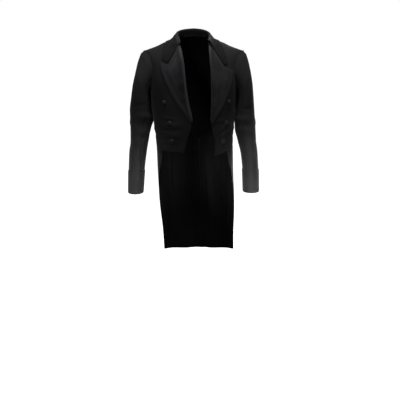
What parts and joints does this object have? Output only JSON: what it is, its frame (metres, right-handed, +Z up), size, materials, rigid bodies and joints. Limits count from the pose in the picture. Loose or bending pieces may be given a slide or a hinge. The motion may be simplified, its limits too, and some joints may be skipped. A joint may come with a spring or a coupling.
{
  "type": "white tie tailcoat",
  "caption": "Black evening tailcoat worn open: cut-away fronts with satin peak lapels, turned-back cuffs and long tails behind.",
  "frame": {"origin": "the middle of the neck at the height of the shoulder seams beside it, where the wearer's shoulders carry the coat", "axes": "+Z up, -Y the way the wearer faces, +X the wearer's left"},
  "size_m": [0.6139, 0.2729, 1.074],
  "materials": {
    "barathea": "fine matt black wool",
    "satin_facing": "black satin with a dull sheen",
    "collar_cloth": "matt black collar cloth",
    "covered_button": "black cloth-covered button"
  },
  "bodies": {
    "root": {"back_left": "barathea", "back_right": "barathea", "button_back_left": "covered_button", "button_back_right": "covered_button", "button_left_1": "covered_button", "button_left_2": "covered_button", "button_left_3": "covered_button", "button_right_1": "covered_button", "button_right_2": "covered_button", "button_right_3": "covered_button", "collar": "collar_cloth", "cuff_left": "barathea", "cuff_right": "barathea", "front_left": "barathea", "front_right": "barathea", "lapel_left": "satin_facing", "lapel_right": "satin_facing", "side_body_left": "barathea", "side_body_right": "barathea", "tail_left": "barathea", "tail_right": "barathea", "top_sleeve_left": "barathea", "top_sleeve_right": "barathea", "under_sleeve_left": "barathea", "under_sleeve_right": "barathea"}
  },
  "joints": []
}
